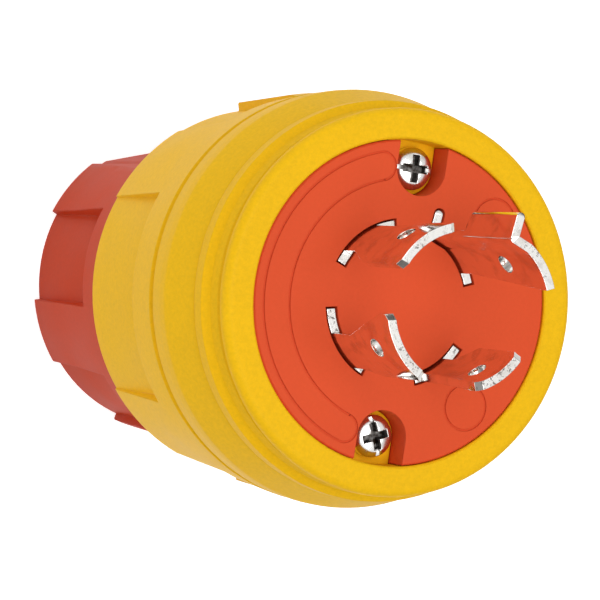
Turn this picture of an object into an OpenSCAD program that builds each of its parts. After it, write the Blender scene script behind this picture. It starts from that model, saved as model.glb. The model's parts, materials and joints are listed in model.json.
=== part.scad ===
// Watertight locking power plug, four curved blades, hand-tightened cord clamp.
// Stands on the rear end of its clamp nut; the plug axis is +Z and the blades point up.

/* [Clamp nut] */
// Length of the clamp nut along the plug axis
nut_h = 41.3; // [38:0.1:46]
// Outside radius of the grip pads at the rear end of the nut
nut_rear_r = 29.2; // [28.6:0.1:31]
// Outside radius of the nut where it meets the rear housing
nut_front_r = 32.2; // [31.6:0.1:33.5]
// Radius of the hollows between the grip pads
nut_hollow_r = 27.9; // [27.4:0.1:28.3]
// Length of the hollows between the grip pads, from the rear end
nut_hollow_h = 30; // [20:0.5:34]
// Number of grip pads around the nut
nut_pads = 6; // [5:1:8]
// Angle that one grip pad covers, in degrees
nut_pad_angle = 25; // [15:1:34]
// Turn of the first grip pad from the X axis, in degrees
nut_turn = 27; // [0:1:60]
// Thickness of the wall at the rear end of the nut
nut_wall = 4.4; // [3.5:0.1:5.5]
// Radius of the cord opening in the rear wall of the nut
nut_mouth_r = 11; // [10:0.1:13]

/* [Rear housing] */
// Length of the rear housing that shows between nut and front sleeve
rear_h = 33.2; // [31:0.1:38]
// Outside radius of the rear housing at its rear edge
rear_edge_r = 34.2; // [33.9:0.1:35]
// Outside radius of both housings at the seam between them
seam_r = 36.6; // [36:0.1:38]
// Radius of the floor of the grip hollows
grip_floor_r = 33.8; // [33:0.1:33.8]
// Length of the grip hollows, from the rear edge
grip_h = 19.6; // [14:0.2:24]
// Angle that a wide grip hollow covers, in degrees
wide_grip_angle = 62; // [40:1:66]
// Angle that a narrow grip hollow covers, in degrees
narrow_grip_angle = 22; // [14:1:24]
// Angle from a raised pad's middle to a narrow hollow's middle, in degrees
narrow_grip_offset = 19; // [19:0.5:22]
// Outside radius of the two raised pads at the rear edge
pad_r = 35.4; // [34.8:0.1:36]
// Angle that a raised pad covers, in degrees
pad_angle = 16; // [8:1:16]
// Turn of the housings against the row of face screws, in degrees
housing_turn = 9; // [0:1:20]
// Radius of the threaded neck that carries the nut
neck_r = 25; // [24:0.1:25.5]
// Length of the threaded neck behind the rear edge
neck_h = 27.5; // [24:0.5:30]
// Radius of the hollow for the conductors
core_r = 19; // [17:0.5:20.5]
// Radius of the bore that holds the rear insulator
bore_r = 27.2; // [27:0.1:27.6]
// Length of the spigot that enters the front sleeve
spigot_h = 9.2; // [8.6:0.1:9.8]
// Outside radius of the spigot
spigot_r = 30.4; // [30:0.1:31]

/* [Front sleeve] */
// Length of the front sleeve from the seam to the insulating face
front_h = 23.2; // [22.4:0.1:26]
// Height of the sleeve's lip above the insulating face
lip_h = 0.4; // [0.2:0.05:0.8]
// Outside radius of the ring around the face
ring_r = 33.4; // [33:0.1:34.2]
// Length of the outside of that ring
ring_h = 3.2; // [2.4:0.1:3.8]
// Rounding of the outer edge of the ring
ring_round = 0.8; // [0.4:0.1:1.2]
// Radius at the bottom of the channel behind the ring
channel_r = 32.5; // [32:0.1:32.9]
// Outside radius of the rim behind the channel
rim_r = 34.7; // [34.2:0.1:35.4]
// Distance from the face back to the rear edge of the rim
rim_back = 9.2; // [8.6:0.1:9.8]
// Radius of the waist just behind the rim
waist_r = 34.2; // [33.6:0.1:34.2]
// Largest radius of the sleeve
swell_r = 36.8; // [36.2:0.1:38.4]
// Distance from the face back to that largest radius
swell_back = 17.6; // [15:0.1:19]
// Depth of the seam groove between the housings
seam_depth = 0.5; // [0.3:0.05:0.8]
// Width of the seam groove
seam_w = 0.8; // [0.5:0.1:1.4]

/* [Insulators] */
// Radius of the insulating face
face_r = 28; // [27.6:0.1:28.6]
// Height of the face disc above its flange
disc_h = 6; // [5.4:0.1:6.6]
// Radius of the flange behind the face disc
flange_r = 30.4; // [30:0.1:30.5]
// Radius of the rear insulator
carrier_r = 26.9; // [26.5:0.1:26.9]
// Length of the rear insulator
carrier_h = 21; // [20:0.5:23]
// Half the width of the notches for the face screws
notch_r = 4.7; // [4.6:0.1:5]
// Distance of the face screws from the plug axis
screw_row_r = 23.25; // [23:0.05:23.6]
// Depth of the screw seats below the face
seat_depth = 5; // [4.4:0.1:5.6]
// Thickness of the lugs that carry the face screws
lug_h = 8; // [7.4:0.1:8.4]
// Radius of the inner edge of the label band on the face
label_in_r = 21.3; // [20:0.1:22]
// Radius of the outer edge of the label band on the face
label_out_r = 26.1; // [25:0.1:26.6]
// Depth of the outlines on the face
outline_depth = 0.25; // [0.1:0.05:0.4]
// Width of the outlines on the face
outline_w = 0.35; // [0.2:0.05:0.6]

/* [Blades] */
// Radius of the middle of the curved blades
blade_r = 13.4; // [13.2:0.1:13.6]
// Thickness of the blades
blade_t = 1.5; // [1.3:0.1:1.7]
// Length of the line blades in front of the face
line_len = 22; // [19:0.5:24]
// Length of the ground blade in front of the face
ground_len = 28; // [25:0.5:30]
// Diameter of the hole through each blade
blade_hole_d = 3.4; // [2.6:0.1:4]
// Radius of the outer edge of the ground blade's ear
ear_r = 17.5; // [16.5:0.1:18.4]
// Height above the face at which the ground blade's ear begins
ear_z = 12; // [9:0.5:16]
// Rounding of the rear corner of the ear
ear_round = 2.6; // [1:0.1:3.4]
// Bevel at the corners of the line blades' tips
tip_bevel = 1; // [0.4:0.1:1.6]
// Depth of the blade shoulders below the face
shoulder_depth = 0.2; // [0.1:0.05:0.6]
// Clearance of the blades in the slots of the face
slot_gap = 0.35; // [0.2:0.05:0.45]

/* [Terminals] */
// Width of the terminal straps
strap_w = 8; // [7:0.1:9]
// Length of the terminal straps
strap_h = 14.5; // [13:0.5:15]
// Distance of the outer leg of the strap from the plug axis
strap_out_r = 20.6; // [20:0.1:21]
// Radius of the terminal screws' shanks
terminal_r = 1.8; // [1.5:0.1:2]
// Radius of the terminal screws' heads
terminal_head_r = 3; // [2.6:0.1:3.2]
// Thickness of the wire clamp plates
plate_t = 1.6; // [1.2:0.1:2]

/* [Screws and seals] */
// Radius of the face screws' heads
head_r = 3.45; // [3.1:0.05:3.8]
// Height of the face screws' heads
head_h = 2.1; // [1.8:0.1:2.4]
// Radius of the face screws' shanks
shank_r = 1.75; // [1.5:0.05:1.9]
// Length of the face screws' shanks
shank_h = 15; // [12:0.5:16]
// Outside radius of the brass inserts
insert_r = 3; // [2.6:0.1:3.2]
// Length of the brass inserts
insert_h = 7.5; // [6:0.5:9]
// Section radius of the housing seal
seal_r = 0.85; // [0.7:0.05:0.9]
// Radius of the cord hole in the grommet
cord_r = 8; // [6:0.25:9]
// Length of the grommet
grommet_h = 19; // [16:0.5:21]
// Thickness of the slip washer
washer_t = 1.2; // [0.8:0.1:1.6]

/* [Hidden] */
$fn = 96;

gap = 0.3;         // clearance between pieces that only lie beside each other
fit = 0.1;         // radial clearance of a piece in its bore
thread_gap = 0.05; // radial clearance in a threaded hole
cut = 1;           // how far a cutter runs past the surface that it opens
bend_n = 6;        // steps in a rounded corner of a turned profile

yellow = [0.91, 0.71, 0.13];
orange = [0.87, 0.32, 0.18];
nut_orange = [0.74, 0.31, 0.22];
nickel = [0.82, 0.82, 0.80];
brass = [0.78, 0.62, 0.30];
rubber = [0.13, 0.13, 0.14];
carrier_black = [0.16, 0.16, 0.17];

rear_z = nut_h + gap;                  // rear edge of the rear housing
seam_z = rear_z + rear_h;              // seam between the housings
face_z = seam_z + front_h;             // insulating face
spigot_z = seam_z + spigot_h;          // front end of the spigot
neck_z = rear_z - neck_h;              // rear end of the threaded neck
flange_z = face_z - disc_h;            // front of the front insulator's flange
seat_z = face_z - seat_depth;          // seats of the face screws
lug_z = seat_z - lug_h;                // underside of the lugs
carrier_z = spigot_z - carrier_h;      // rear end of the rear insulator
grip_end_z = rear_z + grip_h;          // front end of the grip hollows
insulator_z = spigot_z + gap / 2;      // rear face of the front insulator
strap_z = spigot_z - gap - strap_h;    // rear end of the terminal straps
stem_z = strap_z + strap_h - blade_t;  // rear end of the blades proper, where the straps begin
terminal_z = strap_z + 5.5;            // axis of the terminal screws
insert_top = lug_z - gap;              // front end of the brass inserts
insert_z = insert_top - insert_h;      // rear end of the brass inserts
washer_z = nut_wall + gap / 3;         // rear face of the slip washer
grommet_z = washer_z + washer_t + gap / 3;
seal_z = seam_z + 4;                   // middle of the housing seal
seal_mid_r = spigot_r - seal_r + fit;  // radius of the ring's middle line
screw_room = 5;                        // depth of the boss holes below the inserts
edge_round = 0.3;                      // rounding of the rear housing's rear edge
blade_in_r = blade_r - blade_t / 2;
blade_out_r = blade_r + blade_t / 2;
plate_z = terminal_z - 4;              // rear end of the wire clamp plates
plate_h = 8.4;
plate_r = strap_out_r - 2.8 - plate_t; // inner face of the wire clamp plates

// Each line blade: middle angle, angle covered, angle of the clockwise and the counterclockwise cut
BLADES = [[131.4, 53, 15, 9], [219.5, 54, 18, 7], [312, 42, 5, 13]];
ground_from = 22.6;  // angle of the ground blade's clockwise end
ground_to = 58;      // angle at which its curved plate ends
ground_mid = 45;     // angle of its terminal
bend_a = 71;         // angle of the ear's foot
bend_r = 13.1;       // distance of the ear's foot from the plug axis
ear_a = 73.5;        // angle of the ear's outer edge

function arc(cx, cy, r, a0, a1, n) =
    [for (i = [0:n]) let (a = a0 + (a1 - a0) * i / n) [cx + r * cos(a), cy + r * sin(a)]];
function on_circle(r, a) = [r * cos(a), r * sin(a)];
function rear_r(z) = rear_edge_r + (seam_r - rear_edge_r) * (z - rear_z) / rear_h;

// Flat ring segment in the XY plane
module arc_band(r0, r1, a0, a1) {
    far = 2 * r1;
    intersection() {
        difference() { circle(r1); circle(r0); }
        polygon([[0, 0], on_circle(far, a0), on_circle(far, (a0 + a1) / 2), on_circle(far, a1)]);
    }
}

// Straight strip with round ends between two points
module strip(p, q, w) {
    d = q - p;
    translate(p) rotate(atan2(d[1], d[0])) translate([0, -w / 2]) square([norm(d), w]);
    translate(p) circle(w / 2);
    translate(q) circle(w / 2);
}

module at_screws() {
    for (s = [90, -90]) rotate([0, 0, s]) translate([screw_row_r, 0, 0]) children();
}

// One place on the circle of blades, with X pointing outwards
module at_angle(a) { rotate([0, 0, a]) children(); }

module clamp_nut() {
    hollow = 360 / nut_pads - nut_pad_angle;
    body_r = neck_r + thread_gap;
    color(nut_orange) difference() {
        rotate_extrude() polygon(concat(
            [[nut_mouth_r + 1.2, 0]],
            arc(nut_rear_r - 0.8, 0.8, 0.8, -90, 0, bend_n),
            [[nut_rear_r + 0.7, 15], [nut_front_r - 1, nut_hollow_h + 1], [nut_front_r - 0.4, nut_h - 2]],
            arc(nut_front_r - 0.6, nut_h - 0.6, 0.6, 0, 90, bend_n),
            [[body_r, nut_h], [body_r, neck_z - 1.5], [body_r - 3, nut_wall], [nut_mouth_r, nut_wall],
             [nut_mouth_r, 1.2]]));
        for (i = [0:nut_pads - 1])
            rotate([0, 0, nut_turn + i * 360 / nut_pads + nut_pad_angle / 2])
                rotate_extrude(angle = hollow) polygon([
                    [nut_hollow_r, -cut], [nut_front_r + cut, -cut],
                    [nut_front_r + cut, nut_hollow_h + 1], [nut_hollow_r + 1.6, nut_hollow_h],
                    [nut_hollow_r, nut_hollow_h - 1.6]]);
    }
}

module slip_washer() {
    color(nickel) translate([0, 0, washer_z]) difference() {
        cylinder(r = core_r + 1.4, h = washer_t);
        translate([0, 0, -cut]) cylinder(r = nut_mouth_r + 0.6, h = washer_t + 2 * cut);
    }
}

module cord_grommet() {
    color(rubber) rotate_extrude() polygon(concat(
        [[cord_r, grommet_z + 1]], [[cord_r + 1, grommet_z]],
        arc(core_r + 0.6, grommet_z + 0.6, 0.6, -90, 0, bend_n),
        [[core_r + 1.2, neck_z - gap], [core_r - fit, neck_z + 4.5],
         [core_r - fit - 1.5, grommet_z + grommet_h], [cord_r + 1, grommet_z + grommet_h],
         [cord_r, grommet_z + grommet_h - 1]]));
}

module grip_hollow(mid, width) {
    rotate([0, 0, mid - width / 2]) rotate_extrude(angle = width) polygon([
        [grip_floor_r, rear_z - cut], [seam_r + cut, rear_z - cut],
        [seam_r + cut, grip_end_z + 0.6], [grip_floor_r + 1.2, grip_end_z],
        [grip_floor_r + 0.2, grip_end_z - 1.2]]);
}

module rear_housing() {
    shelf_z = carrier_z - fit;
    color(yellow) {
        difference() {
            union() {
                // outside, spigot and neck as one turned body
                rotate_extrude() polygon(concat(
                    [[core_r + 2.2, neck_z]],
                    [[neck_r - 0.8, neck_z], [neck_r, neck_z + 0.8], [neck_r, rear_z]],
                    arc(rear_edge_r - edge_round, rear_z + edge_round, edge_round, -90, 0, 4),
                    [[seam_r, seam_z - seam_w], [seam_r - seam_depth, seam_z - seam_w / 2],
                     [seam_r - seam_depth, seam_z], [spigot_r, seam_z], [spigot_r, spigot_z - 0.5],
                     [spigot_r - 0.5, spigot_z], [bore_r, spigot_z], [bore_r, shelf_z], [bore_r - 4, shelf_z],
                     [core_r, shelf_z - 12], [core_r, neck_z + 5]]));
                for (s = [90, 270]) at_angle(s + housing_turn) raised_pad();
            }
            for (s = [0, 180]) {
                grip_hollow(s + housing_turn, wide_grip_angle);
                grip_hollow(s + 90 + housing_turn - narrow_grip_offset, narrow_grip_angle);
                grip_hollow(s + 90 + housing_turn + narrow_grip_offset, narrow_grip_angle);
            }
            // groove of the housing seal
            translate([0, 0, seal_z - seal_r - gap / 2]) difference() {
                cylinder(r = spigot_r + cut, h = 2 * seal_r + gap);
                translate([0, 0, -cut]) cylinder(r = seal_mid_r - seal_r - thread_gap, h = 4 * seal_r + 2 * cut);
            }
        }
        // bosses of the face screws, joined to the wall of the bore
        difference() {
            intersection() {
                translate([0, 0, shelf_z - 4]) cylinder(r = bore_r + cut / 2, h = insert_top - shelf_z + 4);
                at_screws() union() {
                    translate([0, 0, shelf_z - 4]) cylinder(r = notch_r - 0.6, h = insert_top - shelf_z + 4);
                    translate([0, -notch_r + 0.6, shelf_z - 4]) cube([6, 2 * notch_r - 1.2, insert_top - shelf_z + 4]);
                }
            }
            at_screws() {
                translate([0, 0, insert_z]) cylinder(r = insert_r + thread_gap, h = insert_h + cut);
                translate([0, 0, insert_z - screw_room]) cylinder(r = shank_r + gap, h = screw_room + cut);
            }
        }
    }
}

module raised_pad() {
    rotate([0, 0, -pad_angle / 2 - 0.5]) rotate_extrude(angle = pad_angle + 1) polygon([
        [rear_edge_r - 1, rear_z + 0.1], [pad_r - 0.3, rear_z + 0.1], [pad_r, rear_z + 0.4],
        [pad_r + 0.8, grip_end_z], [rear_r(seam_z - 8), seam_z - 8], [rear_edge_r - 1, seam_z - 8]]);
}

module housing_seal() {
    color(rubber) translate([0, 0, seal_z]) rotate_extrude() translate([seal_mid_r, 0]) circle(seal_r);
}

module front_sleeve() {
    sleeve_bore_r = spigot_r + gap / 2;
    mouth_r = face_r + gap / 6;
    ring_back = face_z + lip_h - ring_h;
    rim_front = face_z - rim_back + 2.6;
    color(yellow) difference() {
        union() {
            rotate_extrude() polygon(concat(
                [[sleeve_bore_r, seam_z + 0.02], [seam_r - seam_depth, seam_z + 0.02],
                 [seam_r - seam_depth, seam_z + seam_w / 2], [seam_r, seam_z + seam_w],
                 [swell_r, face_z - swell_back - 1.5]],
                arc(swell_r - 3, face_z - swell_back, 3, 0, 15, 3),
                [[waist_r + 0.5, face_z - rim_back - 1.4], [waist_r, face_z - rim_back],
                 [rim_r, face_z - rim_back]],
                [[rim_r, rim_front], [rim_r - 1.3, rim_front + 1]],
                arc(channel_r + 1.2, ring_back, 1.2, 230, 180, 4),
                [[ring_r - 0.1, ring_back + 0.9]],
                arc(ring_r - ring_round, face_z + lip_h - ring_round, ring_round, 0, 90, bend_n),
                [[mouth_r + 0.3, face_z + lip_h], [mouth_r, face_z + lip_h - 0.3], [mouth_r, flange_z],
                 [sleeve_bore_r, flange_z]]));
            at_screws() {
                translate([0, 0, lug_z]) cylinder(r = notch_r - gap / 2, h = lug_h);
                translate([0, -notch_r + gap / 2, lug_z])
                    cube([sleeve_bore_r - screw_row_r + 0.5, 2 * notch_r - gap, lug_h]);
            }
        }
        at_screws() translate([0, 0, lug_z - cut]) cylinder(r = shank_r + gap, h = lug_h + 2 * cut);
    }
}

// Curved slot for a blade, open at the face
module blade_slot(a0, a1, depth) {
    turn = slot_gap / blade_r * 180 / PI;
    translate([0, 0, face_z - depth]) linear_extrude(depth + cut)
        arc_band(blade_in_r - slot_gap, blade_out_r + slot_gap, a0 - turn, a1 + turn);
}

module front_insulator() {
    through = face_z - insulator_z + cut;
    color(orange) difference() {
        rotate_extrude() polygon([
            [0, insulator_z], [flange_r - 0.4, insulator_z], [flange_r, insulator_z + 0.4],
            [flange_r, flange_z - fit], [face_r - fit, flange_z - fit], [face_r - fit, face_z - 0.3],
            [face_r - fit - 0.3, face_z], [0, face_z]]);
        for (b = BLADES) blade_slot(b[0] - b[1] / 2, b[0] + b[1] / 2, through);
        blade_slot(ground_from, ground_to, through);
        translate([0, 0, insulator_z - cut]) linear_extrude(face_z - insulator_z + 2 * cut) ground_bend(slot_gap);
        // notches of the face screws, open at the rim
        at_screws() {
            translate([0, 0, insulator_z - cut]) cylinder(r = notch_r, h = face_z - insulator_z + 2 * cut);
            translate([0, -notch_r, insulator_z - cut]) cube([flange_r, 2 * notch_r, face_z - insulator_z + 2 * cut]);
        }
        face_outlines();
    }
}

// Plain outlines that are moulded into the face: an empty label band and two empty circles
module face_outlines() {
    band_from = 108;
    band_to = 252;
    mid_r = (label_in_r + label_out_r) / 2;
    end_r = (label_out_r - label_in_r) / 2;
    translate([0, 0, face_z - outline_depth]) linear_extrude(outline_depth + cut) {
        arc_band(label_in_r - outline_w / 2, label_in_r + outline_w / 2, band_from, band_to);
        arc_band(label_out_r - outline_w / 2, label_out_r + outline_w / 2, band_from, band_to);
        for (e = [[band_from, -90], [band_to, 90]]) rotate(e[0]) translate([mid_r, 0]) rotate(e[1])
            arc_band(end_r - outline_w / 2, end_r + outline_w / 2, -90, 90);
        for (c = [[-46.3, 22.1], [46.6, 22.7]]) translate(on_circle(c[1], c[0])) difference() {
            circle(4 + outline_w / 2);
            circle(4 - outline_w / 2);
        }
    }
}

module rear_insulator() {
    angles = [BLADES[0][0], BLADES[1][0], BLADES[2][0], ground_mid];
    color(carrier_black) difference() {
        translate([0, 0, carrier_z]) cylinder(r = carrier_r, h = carrier_h);
        for (a = angles) at_angle(a) terminal_pocket();
        at_screws() {
            translate([0, 0, carrier_z - cut]) cylinder(r = notch_r - 0.6 + gap, h = carrier_h + 2 * cut);
            translate([0, -notch_r + 0.6 - gap, carrier_z - cut])
                cube([6, 2 * (notch_r - 0.6 + gap), carrier_h + 2 * cut]);
        }
        translate([0, 0, carrier_z - cut]) cylinder(r = 4, h = 12 + cut);
    }
}

// Room for one terminal: strap, wire hole from below and screw hole from the side
module terminal_pocket() {
    pocket_in = sqrt(pow(blade_in_r, 2) - pow(strap_w / 2, 2)) - gap;
    pocket_out = strap_out_r + blade_t + gap;
    translate([pocket_in, -strap_w / 2 - gap, strap_z - gap])
        cube([pocket_out - pocket_in, strap_w + 2 * gap, spigot_z - strap_z + gap + cut]);
    translate([blade_out_r + 1.2, 0, carrier_z - cut]) cylinder(r = 2.6, h = strap_z - carrier_z + 2 * cut);
    translate([strap_out_r, 0, terminal_z]) rotate([0, 90, 0]) cylinder(r = terminal_head_r + gap, h = 10);
}

// Strap behind a blade: inner leg, bridge and outer leg with the threaded hole
module terminal_strap() {
    top = strap_z + strap_h;
    leg_r = blade_in_r + fit;
    difference() {
        union() {
            translate([leg_r, -strap_w / 2, strap_z]) cube([blade_t, strap_w, strap_h]);
            translate([leg_r, -strap_w / 2, top - blade_t]) cube([strap_out_r + blade_t - leg_r, strap_w, blade_t]);
            translate([strap_out_r, -strap_w / 2, strap_z + 1]) cube([blade_t, strap_w, strap_h - 1]);
        }
        translate([strap_out_r - cut, 0, terminal_z]) rotate([0, 90, 0])
            cylinder(r = terminal_r + thread_gap, h = blade_t + 2 * cut);
    }
}

// Cutters beside the stem: the blade is only as wide as its strap in the rear half of the front insulator
module stem_sides(mid) {
    at_angle(mid) for (s = [0, 1]) mirror([0, s, 0]) translate([0, strap_w / 2, stem_z - cut])
        cube([blade_out_r + cut, blade_r, insulator_z + 3 - stem_z + cut]);
}

// Cutter beside the neck of a blade: outline of tangent width and height, run through the plate
module neck_cut(a, depth, side, flat_h, full_h) {
    foot = face_z - shoulder_depth;
    w = blade_r * sin(depth);
    at_angle(a) translate([blade_in_r - 3, 0, 0]) rotate([90, 0, 90]) linear_extrude(blade_t + 5)
        polygon([[side * w, foot], [-side * 4, foot], [-side * 4, face_z + full_h], [0, face_z + full_h],
                 [side * w, face_z + flat_h]]);
}

// Slanted corner at the tip of a line blade
module tip_cut(a, side) {
    tip_z = face_z + line_len;
    at_angle(a) translate([blade_in_r - 3, 0, 0]) rotate([90, 0, 90]) linear_extrude(blade_t + 5)
        polygon([[-side, tip_z - tip_bevel - 1], [side * (tip_bevel + 1), tip_z + 1], [-side, tip_z + 1]]);
}

// Curved blade with shoulders in its slot, a neck and a wider tip
module line_blade(b) {
    a0 = b[0] - b[1] / 2;
    a1 = b[0] + b[1] / 2;
    color(nickel) difference() {
        union() {
            translate([0, 0, stem_z]) linear_extrude(face_z + line_len - stem_z)
                arc_band(blade_in_r, blade_out_r, a0, a1);
            at_angle(b[0]) terminal_strap();
        }
        stem_sides(b[0]);
        neck_cut(a0, b[2], 1, 7, 19);
        neck_cut(a1, b[3], -1, 3.5, 9);
        at_angle(b[0] - 2) translate([blade_in_r - 3, 0, face_z + line_len - 7]) rotate([0, 90, 0])
            cylinder(d = blade_hole_d, h = blade_t + 5);
        tip_cut(a0, 1);
        tip_cut(a1, -1);
    }
}

// Bent part of the ground blade seen along the axis: from the curved plate in to the foot and out along the ear
module ground_bend(grow) {
    w = blade_t + 2 * grow;
    p0 = on_circle(blade_r, ground_to - 1);
    p1 = on_circle(bend_r, bend_a);
    p2 = on_circle(ear_r - blade_t / 2, ear_a);
    strip(p0, p1, w);
    strip(p1, p2, w);
}

module ground_blade() {
    tip_z = face_z + ground_len;
    foot = face_z - shoulder_depth;
    color(nickel) difference() {
        union() {
            translate([0, 0, stem_z]) linear_extrude(tip_z - stem_z)
                arc_band(blade_in_r, blade_out_r, ground_from, ground_to);
            translate([0, 0, foot - 5]) linear_extrude(tip_z - foot + 5) ground_bend(0);
            at_angle(ground_mid) terminal_strap();
        }
        stem_sides(ground_mid);
        neck_cut(ground_from, 9, 1, 5, 27);
        // the ear is cut away beside the neck, with a rounded rear corner
        ear_relief(foot);
        at_angle(ground_mid - 2) translate([blade_in_r - 3, 0, face_z + 17.4]) rotate([0, 90, 0])
            cylinder(d = blade_hole_d, h = blade_t + 5);
    }
}

// Cutter that frees the ear from the shoulder up to its rounded rear corner
module ear_relief(foot) {
    far = ear_r + 3;
    near = bend_r + 0.8;
    relief_top = face_z + ear_z;
    at_angle(ear_a - 1) translate([0, 4, 0]) rotate([90, 0, 0]) linear_extrude(8) difference() {
        union() {
            translate([near, foot]) square([far - near, relief_top - foot]);
            translate([ear_r - ear_round, relief_top]) square([far - ear_r + ear_round, ear_round]);
        }
        translate([ear_r - ear_round, relief_top + ear_round]) circle(ear_round);
    }
}

module terminal_screw(a) {
    under = strap_out_r + blade_t + fit;
    tip = plate_r + plate_t + thread_gap;
    color(nickel) at_angle(a) translate([0, 0, terminal_z]) rotate([0, 90, 0]) difference() {
        union() {
            translate([0, 0, tip]) cylinder(r = terminal_r, h = under - tip + 0.5);
            translate([0, 0, under]) cylinder(r = terminal_head_r, h = 2.2);
        }
        translate([-0.4, -terminal_head_r - cut, under + 1.2]) cube([0.8, 2 * terminal_head_r + 2 * cut, 2]);
    }
}

module clamp_plate(a) {
    color(nickel) at_angle(a) translate([plate_r, -strap_w / 2 + 0.2, plate_z]) difference() {
        cube([plate_t, strap_w - 0.4, plate_h]);
        // teeth that grip the conductor
        for (i = [1:3]) translate([0, -cut, i * plate_h / 4]) rotate([0, 45, 0])
            translate([-0.35, 0, -0.35]) cube([0.7, strap_w + 2 * cut, 0.7]);
    }
}

module face_screw(a, turn) {
    color(nickel) rotate([0, 0, a]) translate([screw_row_r, 0, seat_z]) rotate([0, 0, turn]) difference() {
        rotate_extrude() polygon(concat(
            [[0, -shank_h], [shank_r - 0.5, -shank_h], [shank_r, -shank_h + 0.8], [shank_r, 0.01],
             [head_r - 0.1, 0.01]],
            arc(head_r - 1, head_h - 1.3, 1, -20, 60, bend_n),
            [[head_r - 1.6, head_h - 0.1], [0, head_h]]));
        // cross recess and slot
        translate([-head_r, -0.4, head_h - 0.7]) cube([2 * head_r, 0.8, cut]);
        for (q = [0, 90]) rotate([0, 0, q]) translate([-1.9, -0.5, head_h - 1.6]) cube([3.8, 1, 2]);
    }
}

module screw_insert(a) {
    color(brass) rotate([0, 0, a]) translate([screw_row_r, 0, insert_z]) difference() {
        union() {
            cylinder(r = insert_r - 0.3, h = insert_h);
            for (z = [0.6, insert_h / 2 + 0.6]) translate([0, 0, z]) cylinder(r = insert_r, h = insert_h / 2 - 1.2);
        }
        translate([0, 0, -cut]) cylinder(r = shank_r + thread_gap, h = insert_h + 2 * cut);
    }
}

clamp_nut();
slip_washer();
cord_grommet();
rear_housing();
housing_seal();
front_sleeve();
front_insulator();
rear_insulator();
line_blade(BLADES[0]);  // line_blade_x
line_blade(BLADES[1]);  // line_blade_y
line_blade(BLADES[2]);  // line_blade_z
ground_blade();
terminal_screw(BLADES[0][0]);  // terminal_screw_x
terminal_screw(BLADES[1][0]);  // terminal_screw_y
terminal_screw(BLADES[2][0]);  // terminal_screw_z
terminal_screw(ground_mid);  // terminal_screw_ground
clamp_plate(BLADES[0][0]);  // clamp_plate_x
clamp_plate(BLADES[1][0]);  // clamp_plate_y
clamp_plate(BLADES[2][0]);  // clamp_plate_z
clamp_plate(ground_mid);  // clamp_plate_ground
face_screw(90, 8);  // face_screw_top
face_screw(-90, 22);  // face_screw_bottom
screw_insert(90);  // screw_insert_top
screw_insert(-90);  // screw_insert_bottom
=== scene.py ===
import json
from math import atan2, cos, hypot, pi, radians, sin

import bpy
from mathutils import Matrix, Vector


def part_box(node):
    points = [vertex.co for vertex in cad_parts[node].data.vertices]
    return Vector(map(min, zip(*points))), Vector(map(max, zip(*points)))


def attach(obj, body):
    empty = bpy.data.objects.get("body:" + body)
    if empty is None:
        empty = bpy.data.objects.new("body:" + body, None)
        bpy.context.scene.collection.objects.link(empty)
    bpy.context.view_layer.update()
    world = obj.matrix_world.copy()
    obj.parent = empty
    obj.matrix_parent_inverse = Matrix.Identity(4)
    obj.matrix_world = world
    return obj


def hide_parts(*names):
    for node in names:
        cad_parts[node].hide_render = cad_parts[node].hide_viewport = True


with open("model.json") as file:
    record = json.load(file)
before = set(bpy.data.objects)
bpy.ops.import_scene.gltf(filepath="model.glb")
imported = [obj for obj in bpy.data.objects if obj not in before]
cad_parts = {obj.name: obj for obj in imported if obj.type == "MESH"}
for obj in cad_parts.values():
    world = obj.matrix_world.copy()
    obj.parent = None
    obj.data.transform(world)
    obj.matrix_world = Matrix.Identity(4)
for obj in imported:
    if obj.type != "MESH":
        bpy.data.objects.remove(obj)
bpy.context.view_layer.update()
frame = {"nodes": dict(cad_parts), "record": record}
print("frame loaded:", len(frame["nodes"]), "nodes")

mm = 0.001


def feed(tree, value, socket):
    # the output of a node is linked to the socket, a plain value is set on it
    if hasattr(value, "is_linked"):
        tree.links.new(value, socket)
    else:
        socket.default_value = value


def addNode(tree, kind, inputs=None):
    node = tree.nodes.new(kind)
    for socket, value in (inputs or {}).items():
        feed(tree, value, node.inputs[socket])
    return node


def addNoise(tree, vector, scale, detail, roughness=0.55):
    noise = addNode(tree, "ShaderNodeTexNoise",
                    {"Vector": vector, "Scale": scale, "Detail": detail, "Roughness": roughness})
    return noise.outputs["Fac"]


def addMath(tree, operation, first, second=0.0):
    node = addNode(tree, "ShaderNodeMath", {0: first, 1: second})
    node.operation = operation
    return node.outputs[0]


def addMix(tree, share, first, second):
    node = tree.nodes.new("ShaderNodeMix")
    node.data_type = "RGBA"
    for socket, value in ((0, share), (6, first), (7, second)):
        feed(tree, value, node.inputs[socket])
    return node.outputs[2]


def addRange(tree, value, fromLow, fromHigh, toLow, toHigh):
    node = addNode(tree, "ShaderNodeMapRange", {"Value": value, "From Min": fromLow, "From Max": fromHigh,
                                                "To Min": toLow, "To Max": toHigh})
    return node.outputs["Result"]


def objectPlace(tree):
    return tree.nodes.new("ShaderNodeTexCoord").outputs["Object"]


def newMaterial(name):
    material = bpy.data.materials.new(name)
    material.use_nodes = True
    tree = material.node_tree
    tree.nodes.clear()
    output = tree.nodes.new("ShaderNodeOutputMaterial")
    shader = tree.nodes.new("ShaderNodeBsdfPrincipled")
    tree.links.new(shader.outputs["BSDF"], output.inputs["Surface"])
    return material


def insides(material):
    return material.node_tree, material.node_tree.nodes["Principled BSDF"]


def linearColor(red, green, blue):
    # screen values from 0 to 255 become linear light
    def toLinear(value):
        share = value / 255
        return share / 12.92 if share <= 0.04045 else ((share + 0.055) / 1.055) ** 2.4
    return (toLinear(red), toLinear(green), toLinear(blue), 1.0)


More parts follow.
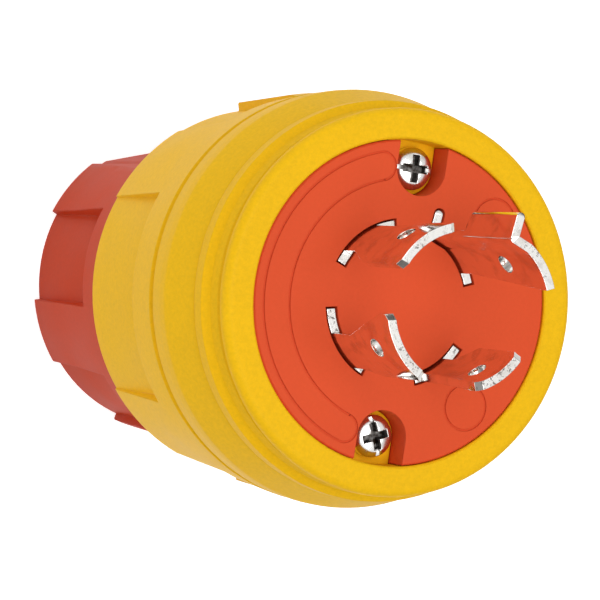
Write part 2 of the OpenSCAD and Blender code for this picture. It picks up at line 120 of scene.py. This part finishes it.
def newGroup(name, inputs, outputs):
    group = bpy.data.node_groups.new(name, "ShaderNodeTree")
    for label, kind, value in inputs:
        socket = group.interface.new_socket(name=label, in_out="INPUT", socket_type=kind)
        socket.default_value = value
    for label, kind in outputs:
        group.interface.new_socket(name=label, in_out="OUTPUT", socket_type=kind)
    return group, group.nodes.new("NodeGroupInput"), group.nodes.new("NodeGroupOutput")


mouldedLook = {"cloudScale": 55.0, "speckScale": 1500.0, "glossChange": 0.05}


def makeMouldedGroup(look):
    # fine spark-eroded mould texture, slight clouding and tiny specks of coloured plastic
    group, entry, leave = newGroup(
        "mouldedPlastic",
        [("Color", "NodeSocketColor", (0.8, 0.8, 0.8, 1)), ("Clouding", "NodeSocketFloat", 0.1),
         ("Specks", "NodeSocketFloat", 0.03), ("Grain Scale", "NodeSocketFloat", 2500.0)],
        [("Color", "NodeSocketColor"), ("Height", "NodeSocketFloat"), ("Gloss Change", "NodeSocketFloat")])
    place = objectPlace(group)
    grain = addNoise(group, place, entry.outputs["Grain Scale"], 2.0)
    cloud = addRange(group, addNoise(group, place, look["cloudScale"], 3.0), 0.3, 0.7, -1.0, 1.0)
    speck = addRange(group, addNoise(group, place, look["speckScale"], 2.0, 0.7), 0.3, 0.7, -1.0, 1.0)
    change = addMath(group, "ADD", addMath(group, "MULTIPLY", cloud, entry.outputs["Clouding"]),
                     addMath(group, "MULTIPLY", speck, entry.outputs["Specks"]))
    tone = addNode(group, "ShaderNodeHueSaturation", {"Color": entry.outputs["Color"],
                                                      "Value": addMath(group, "ADD", 1.0, change)})
    feed(group, tone.outputs["Color"], leave.inputs["Color"])
    feed(group, grain, leave.inputs["Height"])
    feed(group, addMath(group, "MULTIPLY", cloud, look["glossChange"]), leave.inputs["Gloss Change"])
    return group


rolledLook = {"lineScale": 1600.0, "lineStretch": 0.12, "smearScale": 420.0, "smearFrom": 0.48, "smearTo": 0.7,
              "roughChange": 0.08}


def makeRolledGroup(look):
    # drawing lines and faint smears on plated sheet metal, running along the plug
    group, entry, leave = newGroup(
        "rolledMetal",
        [("Color", "NodeSocketColor", (0.8, 0.8, 0.8, 1)), ("Tarnish", "NodeSocketColor", (0.5, 0.4, 0.3, 1)),
         ("Tarnish Amount", "NodeSocketFloat", 0.2), ("Roughness", "NodeSocketFloat", 0.15)],
        [("Color", "NodeSocketColor"), ("Height", "NodeSocketFloat"), ("Roughness", "NodeSocketFloat")])
    place = objectPlace(group)
    stretch = addNode(group, "ShaderNodeMapping", {"Vector": place, "Scale": (1.0, 1.0, look["lineStretch"])})
    smear = addNoise(group, place, look["smearScale"], 4.0)
    stain = addRange(group, smear, look["smearFrom"], look["smearTo"], 0.0, 1.0)
    amount = addMath(group, "MULTIPLY", stain, entry.outputs["Tarnish Amount"])
    rougher = addMath(group, "MULTIPLY", stain, look["roughChange"])
    feed(group, addMix(group, amount, entry.outputs["Color"], entry.outputs["Tarnish"]), leave.inputs["Color"])
    feed(group, addNoise(group, stretch.outputs["Vector"], look["lineScale"], 3.0), leave.inputs["Height"])
    feed(group, addMath(group, "ADD", entry.outputs["Roughness"], rougher), leave.inputs["Roughness"])
    return group


mouldedGroup = makeMouldedGroup(mouldedLook)
rolledGroup = makeRolledGroup(rolledLook)


def addSurface(material, sharedGroup, inputs, look, reach):
    # colour and relief of a shared group over edges that catch the light as a small round would
    tree, shader = insides(material)
    group = tree.nodes.new("ShaderNodeGroup")
    group.node_tree = sharedGroup
    for socket, value in inputs.items():
        group.inputs[socket].default_value = value
    edges = addNode(tree, "ShaderNodeBevel", {"Radius": look["edgeMm"] * mm})
    edges.samples = 6
    bump = addNode(tree, "ShaderNodeBump", {"Strength": look["reliefDepth"], "Distance": reach,
                                            "Height": group.outputs["Height"], "Normal": edges.outputs["Normal"]})
    feed(tree, group.outputs["Color"], shader.inputs["Base Color"])
    feed(tree, bump.outputs["Normal"], shader.inputs["Normal"])
    return group


def plasticMaterial(name, look):
    material = newMaterial(name)
    tree, shader = insides(material)
    group = addSurface(material, mouldedGroup, {"Color": look["color"], "Clouding": look["clouding"],
                                                "Specks": look["specks"], "Grain Scale": look["grainScale"]},
                       look, 0.02 * mm)
    feed(tree, addMath(tree, "ADD", group.outputs["Gloss Change"], look["roughness"]), shader.inputs["Roughness"])
    shader.inputs["IOR"].default_value = 1.45
    shader.inputs["Specular IOR Level"].default_value = look["gloss"]
    return material


def metalMaterial(name, look):
    material = newMaterial(name)
    tree, shader = insides(material)
    group = addSurface(material, rolledGroup, {"Color": look["color"], "Tarnish": look["tarnish"],
                                               "Tarnish Amount": look["tarnishAmount"],
                                               "Roughness": look["roughness"]}, look, 0.01 * mm)
    feed(tree, group.outputs["Roughness"], shader.inputs["Roughness"])
    shader.inputs["Metallic"].default_value = 1.0
    return material


def darken(material, amount, color):
    # lays a dark colour over what the base colour is so far
    tree, shader = insides(material)
    was = shader.inputs["Base Color"].links[0].from_socket
    feed(tree, addMix(tree, amount, was, color), shader.inputs["Base Color"])


# dark specks of the sheared tips, and painted dark reflection lines along their rounded edges
shearSpecksAndEdgeShadeLook = {"amount": 0.75, "color": (0.05, 0.03, 0.02, 1), "speckScale": 1500.0, "patchScale": 220.0,
             "edgeShadeShare": 0.8}


def addShearSpecksAndEdgeShade(material, look):
    # tips sheared from the sheet are rough: dark specks on them, and painted dark reflection lines on the rounded
    # edges where the surface turns partway towards the axis
    tree, shader = insides(material)
    place = objectPlace(tree)
    normal = tree.nodes.new("ShaderNodeNewGeometry").outputs["Normal"]
    along = addNode(tree, "ShaderNodeSeparateXYZ", {"Vector": normal}).outputs["Z"]
    tip = addRange(tree, along, 0.25, 0.75, 0.0, 1.0)
    # mask of the rounded tip edges, which get painted dark reflection lines
    rounded = addMath(tree, "MULTIPLY", tip, addRange(tree, along, 0.85, 0.99, 1.0, 0.0))
    torn = addRange(tree, addNoise(tree, place, look["speckScale"], 4.0, 0.7), 0.54, 0.59, 0.0, 1.0)
    patches = addRange(tree, addNoise(tree, place, look["patchScale"], 2.0, 0.5), 0.42, 0.58, 0.05, 1.0)
    specks = addMath(tree, "MULTIPLY", addMath(tree, "MULTIPLY", torn, patches), tip)
    marks = addMath(tree, "MAXIMUM", specks, addMath(tree, "MULTIPLY", rounded, look["edgeShadeShare"]))
    darken(material, addMath(tree, "MULTIPLY", marks, look["amount"]), look["color"])


housingYellow = {"color": linearColor(246, 192, 20), "clouding": 0.02, "specks": 0.05, "grainScale": 2800.0,
                 "reliefDepth": 0.25, "edgeMm": 0.35, "roughness": 0.5, "gloss": 0.1}
faceOrange = {"color": linearColor(226, 84, 46), "clouding": 0.015, "specks": 0.02, "grainScale": 3300.0,
              "reliefDepth": 0.12, "edgeMm": 0.2, "roughness": 0.42, "gloss": 0.1}
nutOrange = {"color": linearColor(200, 60, 14), "clouding": 0.03, "specks": 0.04, "grainScale": 2500.0,
             "reliefDepth": 0.3, "edgeMm": 0.4, "roughness": 0.5, "gloss": 0.1}
carrierBlack = {"color": linearColor(42, 42, 45), "clouding": 0.03, "specks": 0.03, "grainScale": 2500.0,
                "reliefDepth": 0.2, "edgeMm": 0.2, "roughness": 0.5, "gloss": 0.3}
sealRubber = {"color": linearColor(34, 34, 37), "clouding": 0.08, "specks": 0.05, "grainScale": 2000.0,
              "reliefDepth": 0.4, "edgeMm": 0.3, "roughness": 0.7, "gloss": 0.3}
bladeNickel = {"color": (0.9, 0.885, 0.85, 1), "tarnish": (0.30, 0.22, 0.16, 1), "tarnishAmount": 0.35,
               "roughness": 0.1, "reliefDepth": 0.12, "edgeMm": 0.12}
screwZinc = {"color": (0.82, 0.82, 0.80, 1), "tarnish": (0.30, 0.27, 0.22, 1), "tarnishAmount": 0.35,
             "roughness": 0.2, "reliefDepth": 0.2, "edgeMm": 0.12}
washerSteel = {"color": (0.60, 0.60, 0.60, 1), "tarnish": (0.35, 0.33, 0.30, 1), "tarnishAmount": 0.3,
               "roughness": 0.32, "reliefDepth": 0.3, "edgeMm": 0.1}
insertBrass = {"color": (0.76, 0.56, 0.25, 1), "tarnish": (0.45, 0.28, 0.12, 1), "tarnishAmount": 0.3,
               "roughness": 0.28, "reliefDepth": 0.2, "edgeMm": 0.1}

finishes = {
    "housing_yellow": plasticMaterial("housingYellow", housingYellow),
    "face_orange": plasticMaterial("faceOrange", faceOrange),
    "nut_orange": plasticMaterial("nutOrange", nutOrange),
    "insulator_black": plasticMaterial("carrierBlack", carrierBlack),
    "seal_rubber": plasticMaterial("sealRubber", sealRubber),
    "blade_nickel": metalMaterial("bladeNickel", bladeNickel),
    "screw_zinc": metalMaterial("screwZinc", screwZinc),
    "washer_steel": metalMaterial("washerSteel", washerSteel),
    "insert_brass": metalMaterial("insertBrass", insertBrass),
}
addShearSpecksAndEdgeShade(finishes["blade_nickel"], shearSpecksAndEdgeShadeLook)
for subpart in frame["record"]["subparts"]:
    node = frame["nodes"][subpart["node"]]
    node.data.materials.clear()
    node.data.materials.append(finishes[subpart["material_slot"]])
print("finishes placed:", len(finishes))

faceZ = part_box("front_insulator")[1].z
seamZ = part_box("front_sleeve")[0].z
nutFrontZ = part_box("clamp_nut")[1].z


def selectOnly(piece):
    bpy.ops.object.select_all(action="DESELECT")
    piece.select_set(True)
    bpy.context.view_layer.objects.active = piece


def applyAll(piece):
    selectOnly(piece)
    for modifier in list(piece.modifiers):
        bpy.ops.object.modifier_apply(modifier=modifier.name)


def addPrimitive(operator, **shape):
    # the new object stays at the origin, with its place in the mesh
    bpy.ops.object.select_all(action="DESELECT")
    operator(**shape)
    piece = bpy.context.object
    bpy.ops.object.transform_apply(location=True, rotation=True, scale=True)
    return piece


def copyMesh(mesh, pieceName):
    piece = bpy.data.objects.new(pieceName, mesh.copy())
    bpy.context.scene.collection.objects.link(piece)
    return piece


def standIn(nodeName, pieceName, quads=True):
    # merged copy of a CAD node, ready to be worked on
    piece = copyMesh(frame["nodes"][nodeName].data, pieceName)
    selectOnly(piece)
    bpy.ops.object.mode_set(mode="EDIT")
    bpy.ops.mesh.select_all(action="SELECT")
    bpy.ops.mesh.remove_doubles(threshold=0.002 * mm)
    if quads:
        bpy.ops.mesh.tris_convert_to_quads(face_threshold=radians(1), shape_threshold=radians(180))
    bpy.ops.object.mode_set(mode="OBJECT")
    return piece


shading = {"smoothAngle": 32, "faceWeight": 80}


def finishPiece(piece, nodeName):
    selectOnly(piece)
    exact = frame["nodes"][nodeName].data
    if len(exact.loops) == len(piece.data.loops):
        # a copy that still has the node's corners takes over its exact shading
        bpy.ops.object.shade_smooth()
        piece.data.normals_split_custom_set([tuple(corner.vector) for corner in exact.corner_normals])
    else:
        bpy.ops.object.shade_smooth_by_angle(angle=radians(shading["smoothAngle"]))
        weigh = piece.modifiers.new("weighNormals", "WEIGHTED_NORMAL")
        weigh.keep_sharp = True
        weigh.weight = shading["faceWeight"]
        applyAll(piece)
    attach(piece, "root")
    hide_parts(nodeName)


def moveVertices(piece, rule):
    # rule takes the radius and height of a vertex and gives new ones, or nothing
    for vertex in piece.data.vertices:
        x, y, z = vertex.co
        moved = rule(hypot(x, y), z)
        if moved:
            radius, height = moved
            turn = atan2(y, x)
            vertex.co = (radius * cos(turn), radius * sin(turn), height)
    piece.data.update()


def roundEdges(piece, widthMm, segments, angle):
    bevel = piece.modifiers.new("roundEdges", "BEVEL")
    bevel.width = widthMm * mm
    bevel.segments = segments
    bevel.limit_method = "ANGLE"
    bevel.angle_limit = radians(angle)
    applyAll(piece)


sleeveLook = {"ringRadiusMm": 33.4, "lipMm": 0.4, "oldRoundMm": 0.8, "roundMm": 1.5}


def makeFrontSleeve(look):
    # the ring around the face gets a fuller rounding: points of the old round go out to the new one
    piece = standIn("front_sleeve", "frontSleeve", quads=False)
    ring, lip = look["ringRadiusMm"] * mm, faceZ + look["lipMm"] * mm
    old, new = look["oldRoundMm"] * mm, look["roundMm"] * mm
    slack = 0.05 * mm

    def rule(radius, z):
        fromAxis, fromTop = radius - (ring - old), z - (lip - old)
        if min(fromAxis, fromTop) > -0.02 * mm and abs(hypot(fromAxis, fromTop) - old) < slack:
            return ring - new + fromAxis / old * new, lip - new + fromTop / old * new
        return None

    moveVertices(piece, rule)
    finishPiece(piece, "front_sleeve")


housingLook = {"hollowEndMm": 61.4, "newEndMm": 65.1, "untilMm": 68.6, "skinRadiusMm": 34.6,
               "floorRadiusMm": 33.7, "floorEndMm": 60.0, "floorMoveMm": 1.2, "rearRadiusMm": 34.2,
               "seamRadiusMm": 36.6}


def makeRearHousing(look):
    # the grip hollows run further forward and their floors end in a longer ramp
    piece = standIn("rear_housing", "rearHousing", quads=False)
    skin, floor, until = look["skinRadiusMm"] * mm, look["floorRadiusMm"] * mm, look["untilMm"] * mm
    squeeze = (look["untilMm"] - look["newEndMm"]) / (look["untilMm"] - look["hollowEndMm"])
    slope = (look["seamRadiusMm"] - look["rearRadiusMm"]) * mm / (seamZ - nutFrontZ)

    def rule(radius, z):
        if radius > skin and (look["hollowEndMm"] - 0.4) * mm < z < until:
            moved = until - (until - z) * squeeze
            return radius + slope * (moved - z), moved
        if floor < radius < skin and abs(z - look["floorEndMm"] * mm) < 0.5 * mm:
            return radius, z + look["floorMoveMm"] * mm
        return None

    moveVertices(piece, rule)
    finishPiece(piece, "rear_housing")


nutLook = {"flatMm": 26.2, "flatTurn": 109, "edgeMm": 0.45, "segments": 3, "edgeAngle": 38}


def makeClampNut(look):
    # two spanner flats across the grip pads, then all outer edges rounded
    piece = standIn("clamp_nut", "clampNut")
    for side in (0, 180):
        turn = radians(look["flatTurn"] + side)
        outward = Vector((cos(turn), sin(turn), 0))
        selectOnly(piece)
        bpy.ops.object.mode_set(mode="EDIT")
        bpy.ops.mesh.select_all(action="SELECT")
        bpy.ops.mesh.bisect(plane_co=outward * look["flatMm"] * mm, plane_no=outward, use_fill=True,
                            clear_outer=True, threshold=0.001 * mm)
        bpy.ops.object.mode_set(mode="OBJECT")
    roundEdges(piece, look["edgeMm"], look["segments"], look["edgeAngle"])
    finishPiece(piece, "clamp_nut")


bladeLook = {"edgeMm": 0.22, "segments": 3, "edgeAngle": 40,
             "names": {"line_blade_x": "lineBladeX", "line_blade_y": "lineBladeY", "line_blade_z": "lineBladeZ",
                       "ground_blade": "groundBlade"}}


def makeBlades(look):
    # sheared sheet metal with its edges tumbled round
    for nodeName, pieceName in look["names"].items():
        piece = standIn(nodeName, pieceName)
        roundEdges(piece, look["edgeMm"], look["segments"], look["edgeAngle"])
        finishPiece(piece, nodeName)


makeFrontSleeve(sleeveLook)
makeRearHousing(housingLook)
makeClampNut(nutLook)
makeBlades(bladeLook)
print("housings, nut and blades finished")

screwLook = {"headMm": 3.75, "heightMm": 2.85, "sideMm": 1.15, "crownShare": 0.55, "crownSteps": 7,
             "shankMm": 1.75, "shankLengthMm": 15, "recessMm": 2.65, "recessWideMm": 1.5, "recessDeepMm": 1.9,
             "recessTaper": 0.82, "slotWideMm": 0.75, "slotDeepMm": 0.85, "edgeMm": 0.12, "segments": 2,
             "edgeAngle": 40,
             "screws": {"face_screw_top": ("faceScrewTop", 2), "face_screw_bottom": ("faceScrewBottom", -68)}}
# colour and reach of the painted shade and brown grime in the screw recesses
recessGrimeAndShadeLook = {"color": (0.022, 0.013, 0.008, 1), "allInsideMm": 2.2, "goneOutsideMm": 3.0, "allBelowMm": 0.7,
             "goneAboveMm": 0.3, "patchScale": 900.0, "roughness": 0.4}


def joinOrCut(piece, tool, operation):
    change = piece.modifiers.new("joinOrCut", "BOOLEAN")
    change.operation = operation
    change.object = tool
    change.solver = "EXACT"
    applyAll(piece)
    bpy.data.objects.remove(tool, do_unlink=True)


def cutBox(piece, size, top, taper=1.0):
    # a box centred on the top plane of the piece, its lower end tapered
    box = addPrimitive(bpy.ops.mesh.primitive_cube_add, size=1, location=(0, 0, top), scale=size)
    for vertex in box.data.vertices:
        if vertex.co.z < top:
            vertex.co.x *= taper
            vertex.co.y *= taper
    joinOrCut(piece, box, "DIFFERENCE")


def selectTop(piece):
    # in edit mode: only the flat top faces stay selected
    bpy.ops.mesh.select_all(action="DESELECT")
    bpy.ops.object.mode_set(mode="OBJECT")
    for face in piece.data.polygons:
        face.select = face.normal.z > 0.9 and face.center.z > 0
    bpy.ops.object.mode_set(mode="EDIT")


def makeScrewModel(look):
    # pan head with a cross recess and a slot, at the origin with its seat at height zero
    head, high, side = look["headMm"] * mm, look["heightMm"] * mm, look["sideMm"] * mm
    screw = addPrimitive(bpy.ops.mesh.primitive_cylinder_add, vertices=64, radius=head, depth=side,
                         location=(0, 0, side / 2))
    bpy.ops.object.mode_set(mode="EDIT")
    bpy.ops.mesh.select_mode(type="FACE")
    crown, quarter = look["crownShare"] * head, pi / 2
    for step in range(look["crownSteps"]):
        before, after = (quarter * count / look["crownSteps"] for count in (step, step + 1))
        selectTop(screw)
        rise = (high - side) * (sin(after) - sin(before))
        bpy.ops.mesh.extrude_region_move(TRANSFORM_OT_translate={"value": (0, 0, rise)})
        shrink = (head - crown * (1 - cos(after))) / (head - crown * (1 - cos(before)))
        bpy.ops.transform.resize(value=(shrink, shrink, 1), center_override=(0, 0, 0))
    bpy.ops.object.mode_set(mode="OBJECT")
    arm, wide, deep = (look[key] * mm for key in ("recessMm", "recessWideMm", "recessDeepMm"))
    for size in ((2 * arm, wide, 2 * deep), (wide, 2 * arm, 2 * deep)):
        cutBox(screw, size, high, look["recessTaper"])
    cutBox(screw, (3 * head, look["slotWideMm"] * mm, 2 * look["slotDeepMm"] * mm), high)
    roundEdges(screw, look["edgeMm"], look["segments"], look["edgeAngle"])
    length, sunk = look["shankLengthMm"] * mm, 0.05 * mm
    shank = addPrimitive(bpy.ops.mesh.primitive_cylinder_add, vertices=32, radius=look["shankMm"] * mm,
                         depth=length, location=(0, 0, sunk - length / 2))
    joinOrCut(screw, shank, "UNION")
    return screw


def addRecessGrimeAndShade(material, middle, seat, look):
    # the recess and the slot are darkened: painted shade in the hollow, together with patchy brown grime
    tree, shader = insides(material)
    place = objectPlace(tree)
    shift = addNode(tree, "ShaderNodeMapping", {"Vector": place, "Location": (-middle.x, -middle.y, -seat)})
    parts = addNode(tree, "ShaderNodeSeparateXYZ", {"Vector": shift.outputs["Vector"]})
    squares = [addMath(tree, "POWER", parts.outputs[name], 2.0) for name in ("X", "Y")]
    across = addMath(tree, "POWER", addMath(tree, "ADD", *squares), 0.5)
    inside = addRange(tree, across, look["allInsideMm"] * mm, look["goneOutsideMm"] * mm, 1.0, 0.0)
    top = screwLook["heightMm"]
    sunken = addRange(tree, parts.outputs["Z"], (top - look["allBelowMm"]) * mm, (top - look["goneAboveMm"]) * mm,
                      1.0, 0.0)
    spots = addRange(tree, addNoise(tree, place, look["patchScale"], 3.0), 0.35, 0.6, 0.75, 1.0)
    amount = addMath(tree, "MULTIPLY", addMath(tree, "MULTIPLY", inside, sunken), spots)
    darken(material, amount, look["color"])
    was = shader.inputs["Roughness"].links[0].from_socket
    rougher = addMath(tree, "MULTIPLY", amount, look["roughness"])
    feed(tree, addMath(tree, "ADD", was, rougher), shader.inputs["Roughness"])


def makeFaceScrews(look):
    model = makeScrewModel(look)
    for nodeName, (pieceName, turn) in look["screws"].items():
        low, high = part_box(nodeName)
        middle, seat = (low + high) / 2, low.z + look["shankLengthMm"] * mm
        piece = copyMesh(model.data, pieceName)
        place = Matrix.Translation((middle.x, middle.y, seat))
        piece.data.transform(place @ Matrix.Rotation(radians(turn), 4, "Z"))
        zinc = metalMaterial(pieceName + "Zinc", screwZinc)
        addRecessGrimeAndShade(zinc, middle, seat, recessGrimeAndShadeLook)
        piece.data.materials.clear()
        piece.data.materials.append(zinc)
        finishPiece(piece, nodeName)
    bpy.data.objects.remove(model, do_unlink=True)


makeFaceScrews(screwLook)
print("face screws made")

cameraView = {"turn": 26.03, "tilt": 2.17, "roll": 8.4, "distanceMm": 560.0, "asideMm": 17.37, "belowMm": 0.51,
              "lens": 196.54}


def placeCamera(view):
    # the plug's axis and its cross directions as the camera sees them: x right, y down, z away
    turn, tilt, roll = (radians(view[key]) for key in ("turn", "tilt", "roll"))
    axis = Vector((sin(turn) * cos(tilt), sin(tilt), -cos(turn) * cos(tilt)))
    upward = Vector((0, -1, 0))
    upward = (upward - axis * upward.dot(axis)).normalized()
    across = axis.cross(upward)
    if across.x < 0:
        across = -across
    sideX = across * cos(roll) - upward * sin(roll)
    sideY = across * sin(roll) + upward * cos(roll)
    rows = Matrix((sideX, sideY, axis)).transposed()
    middle = Vector((view["asideMm"], view["belowMm"], view["distanceMm"])) * mm
    place = Vector((0, 0, faceZ)) - rows.transposed() @ middle
    turned = Matrix((rows[0], -rows[1], -rows[2])).transposed().to_4x4()
    bpy.ops.object.camera_add()
    camera = bpy.context.object
    camera.matrix_world = Matrix.Translation(place) @ turned
    camera.data.lens = view["lens"]
    camera.data.sensor_width = 36
    camera.data.clip_start = 0.01
    bpy.context.scene.camera = camera
    return camera


floorLook = {"size": 4.0, "glow": 0.7, "color": (0.9, 0.9, 0.9, 1)}


def makeFloor(look):
    # pale floor that the camera and shiny surfaces see as white, with the plug's shadow on it
    bpy.ops.mesh.primitive_plane_add(size=look["size"], location=(0, 0, 0))
    floor = bpy.context.object
    floor.name = "floor"
    material = newMaterial("paleFloor")
    tree, shader = insides(material)
    rays = tree.nodes.new("ShaderNodeLightPath").outputs
    seen = addMath(tree, "MAXIMUM", rays["Is Camera Ray"], rays["Is Glossy Ray"])
    seen = addMath(tree, "MAXIMUM", seen, rays["Is Transmission Ray"])
    for socket, value in {"Base Color": look["color"], "Roughness": 0.9, "Specular IOR Level": 0.1,
                          "Emission Color": (1, 1, 1, 1),
                          "Emission Strength": addMath(tree, "MULTIPLY", seen, look["glow"])}.items():
        feed(tree, value, shader.inputs[socket])
    floor.data.materials.append(material)


worldLook = {"strength": 0.4, "mirrored": 0.95, "horizonShare": 0.25}


def makeWorld(look):
    # plain studio surround; metal sees it bright above and dimmer towards the horizon
    world = bpy.data.worlds.new("studio")
    bpy.context.scene.world = world
    world.use_nodes = True
    tree = world.node_tree
    tree.nodes.clear()
    rays = tree.nodes.new("ShaderNodeLightPath").outputs
    shiny = addMath(tree, "MAXIMUM", rays["Is Glossy Ray"], rays["Is Transmission Ray"])
    direction = tree.nodes.new("ShaderNodeTexCoord").outputs["Generated"]
    height = addNode(tree, "ShaderNodeSeparateXYZ", {"Vector": direction}).outputs["Z"]
    seen = addRange(tree, height, 0.05, 0.75, look["horizonShare"] * look["mirrored"], look["mirrored"])
    lit = addMath(tree, "MULTIPLY", addMath(tree, "SUBTRACT", 1.0, shiny), look["strength"])
    bright = addMath(tree, "ADD", lit, addMath(tree, "MULTIPLY", shiny, seen))
    bright = addMath(tree, "MAXIMUM", bright, rays["Is Camera Ray"])
    light = addNode(tree, "ShaderNodeBackground", {"Color": (1, 1, 1, 1), "Strength": bright})
    addNode(tree, "ShaderNodeOutputWorld", {"Surface": light.outputs["Background"]})


softBoxes = {
    "topSoftBox": {"place": (-0.1, 0.9, 0.5), "size": (1.2, 0.8), "power": 1.7},
    "frontSoftBox": {"place": (0.45, -0.12, 1.0), "size": (0.8, 0.8), "power": 6.7},
    "leftSoftBox": {"place": (-0.9, -0.1, 0.5), "size": (0.7, 0.7), "power": 1.9},
}


def addSoftBox(name, look, camera, target):
    # its place is right, up and towards the camera, in metres from the target
    place = target + camera.matrix_world.to_3x3() @ Vector(look["place"])
    bpy.ops.object.light_add(type="AREA", location=place)
    lamp = bpy.context.object
    lamp.name = name
    lamp.data.shape = "RECTANGLE"
    lamp.data.size, lamp.data.size_y = look["size"]
    lamp.data.energy = look["power"]
    lamp.rotation_euler = (target - place).to_track_quat("-Z", "Y").to_euler()


camera = placeCamera(cameraView)
makeFloor(floorLook)
makeWorld(worldLook)
for name, look in softBoxes.items():
    addSoftBox(name, look, camera, Vector((0, 0, 0.06)))
bpy.context.scene.view_settings.view_transform = "Standard"
print("camera, floor and lights set")
